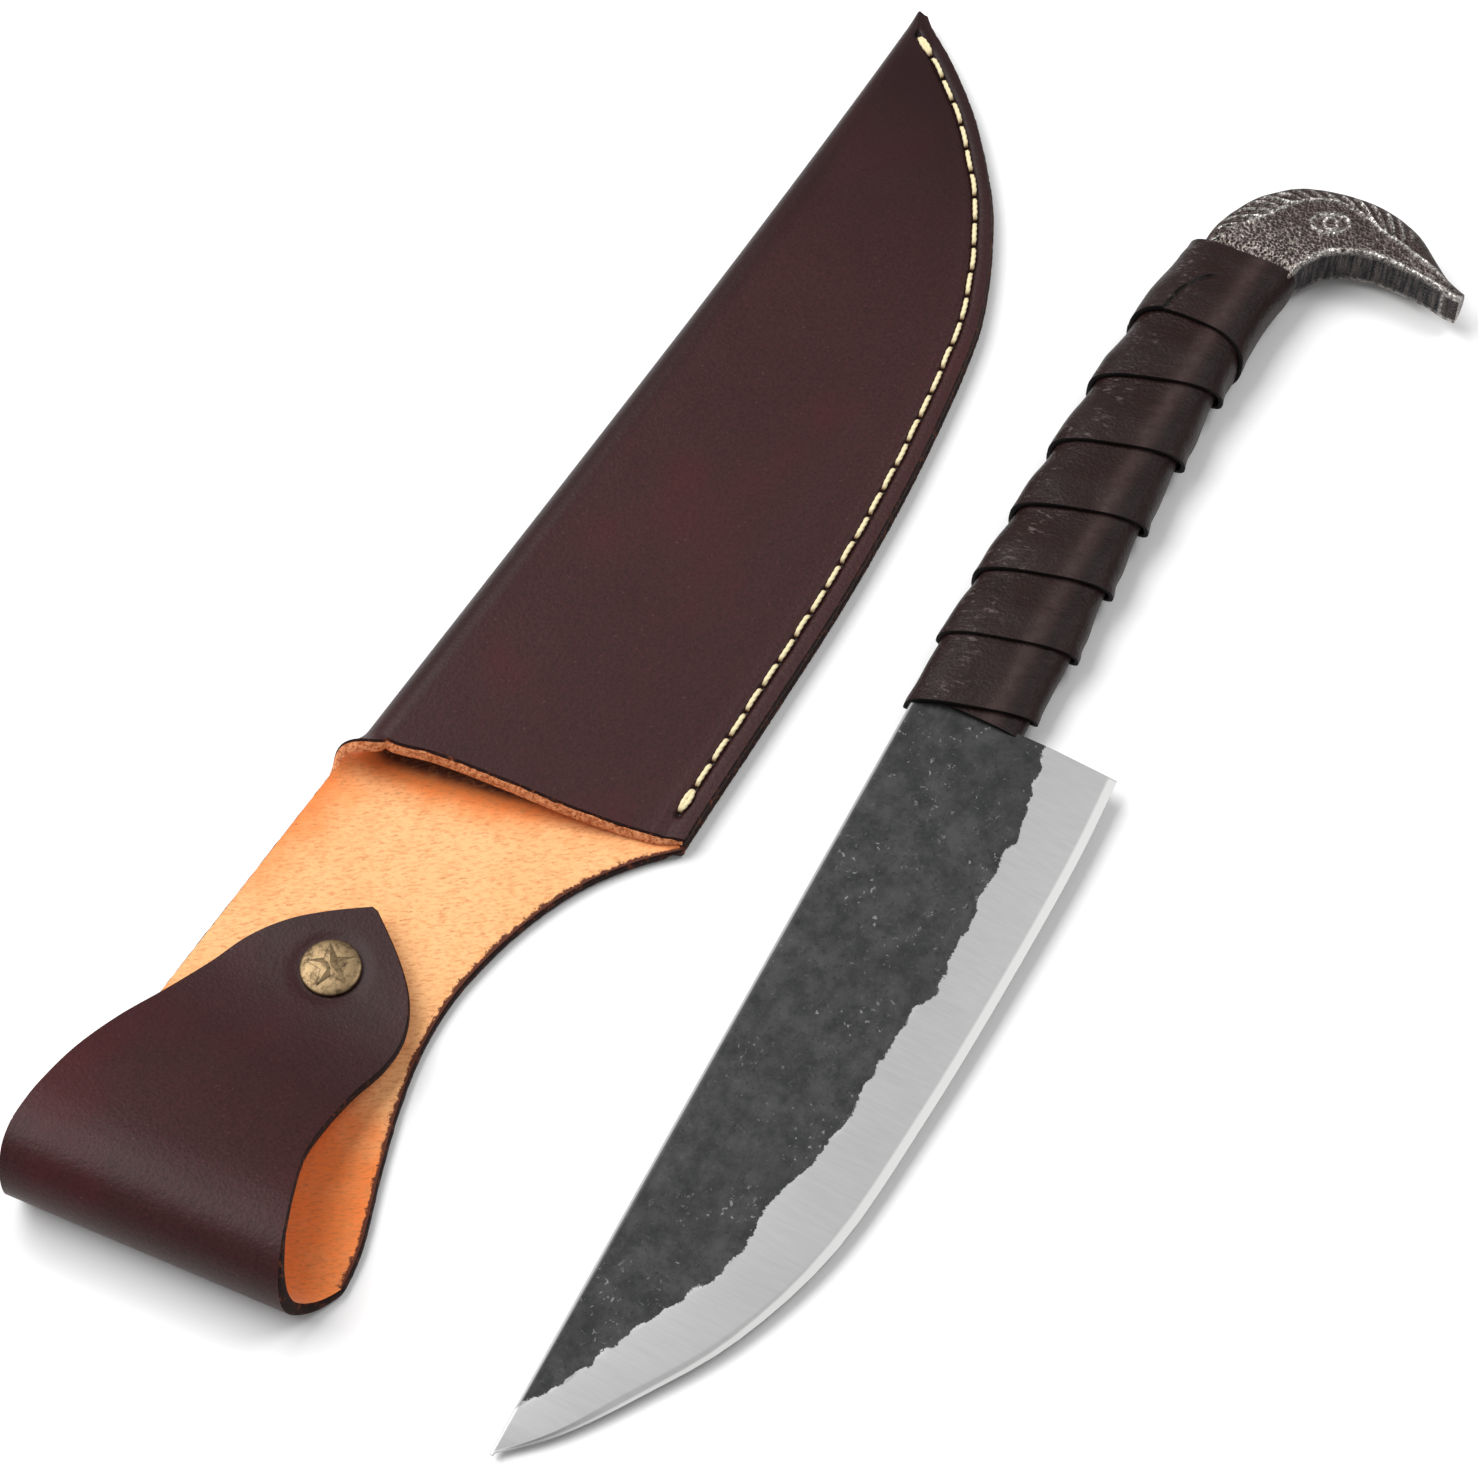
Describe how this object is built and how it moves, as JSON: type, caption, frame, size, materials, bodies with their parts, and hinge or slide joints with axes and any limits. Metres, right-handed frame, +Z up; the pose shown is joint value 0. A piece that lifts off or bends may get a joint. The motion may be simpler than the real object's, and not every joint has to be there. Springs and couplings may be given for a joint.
{
  "type": "forged knife with belt sheath",
  "caption": "Forged steel knife with a leather-wrapped grip and bird-head pommel, lying beside its stitched leather sheath with a snap-closed belt loop.",
  "frame": {"origin": "centre of the bounding box's bottom face, on the surface that the knife and the sheath lie on", "axes": "+X along the sheath's spine towards its tip, +Y towards the sheath's folded spine side and away from the knife, +Z up from the surface"},
  "size_m": [0.3234, 0.1344, 0.02],
  "materials": {
    "forged_steel": "dark forge scale with a bright ground bevel",
    "pewter_steel": "dark oxide with the raised lines worn bright",
    "grip_leather": "smooth satin",
    "sheath_leather": "waxed grain side, raw tan flesh side",
    "waxed_thread": "waxed twist",
    "old_brass": "antique"
  },
  "bodies": {
    "sheath": {"back_panel": "sheath_leather", "front_panel": "sheath_leather", "front_stitches": "waxed_thread", "back_stitches": "waxed_thread", "strap_fold": "sheath_leather", "snap_stud": "old_brass", "snap_post": "old_brass"},
    "flap": {"belt_flap": "sheath_leather", "snap_cap": "old_brass", "snap_socket": "old_brass"},
    "knife": {"blade": "forged_steel", "pommel_head": "pewter_steel", "grip_sleeve": "grip_leather", "grip_wrap": "grip_leather", "grip_wrap_end": "grip_leather"}
  },
  "joints": [
    {"name": "flap_open", "type": "hinge", "parent": "sheath", "child": "flap", "pos_m": [-0.15642, 0.03605, 0.01], "axis": [0.1469, -0.9892, 0], "range_deg": [0, 100], "deforming": ["strap_fold"]},
    {"name": "knife_lift", "type": "slide", "parent": "sheath", "child": "knife", "axis": [0, 0, 1], "range_m": [0, 0.12]}
  ]
}
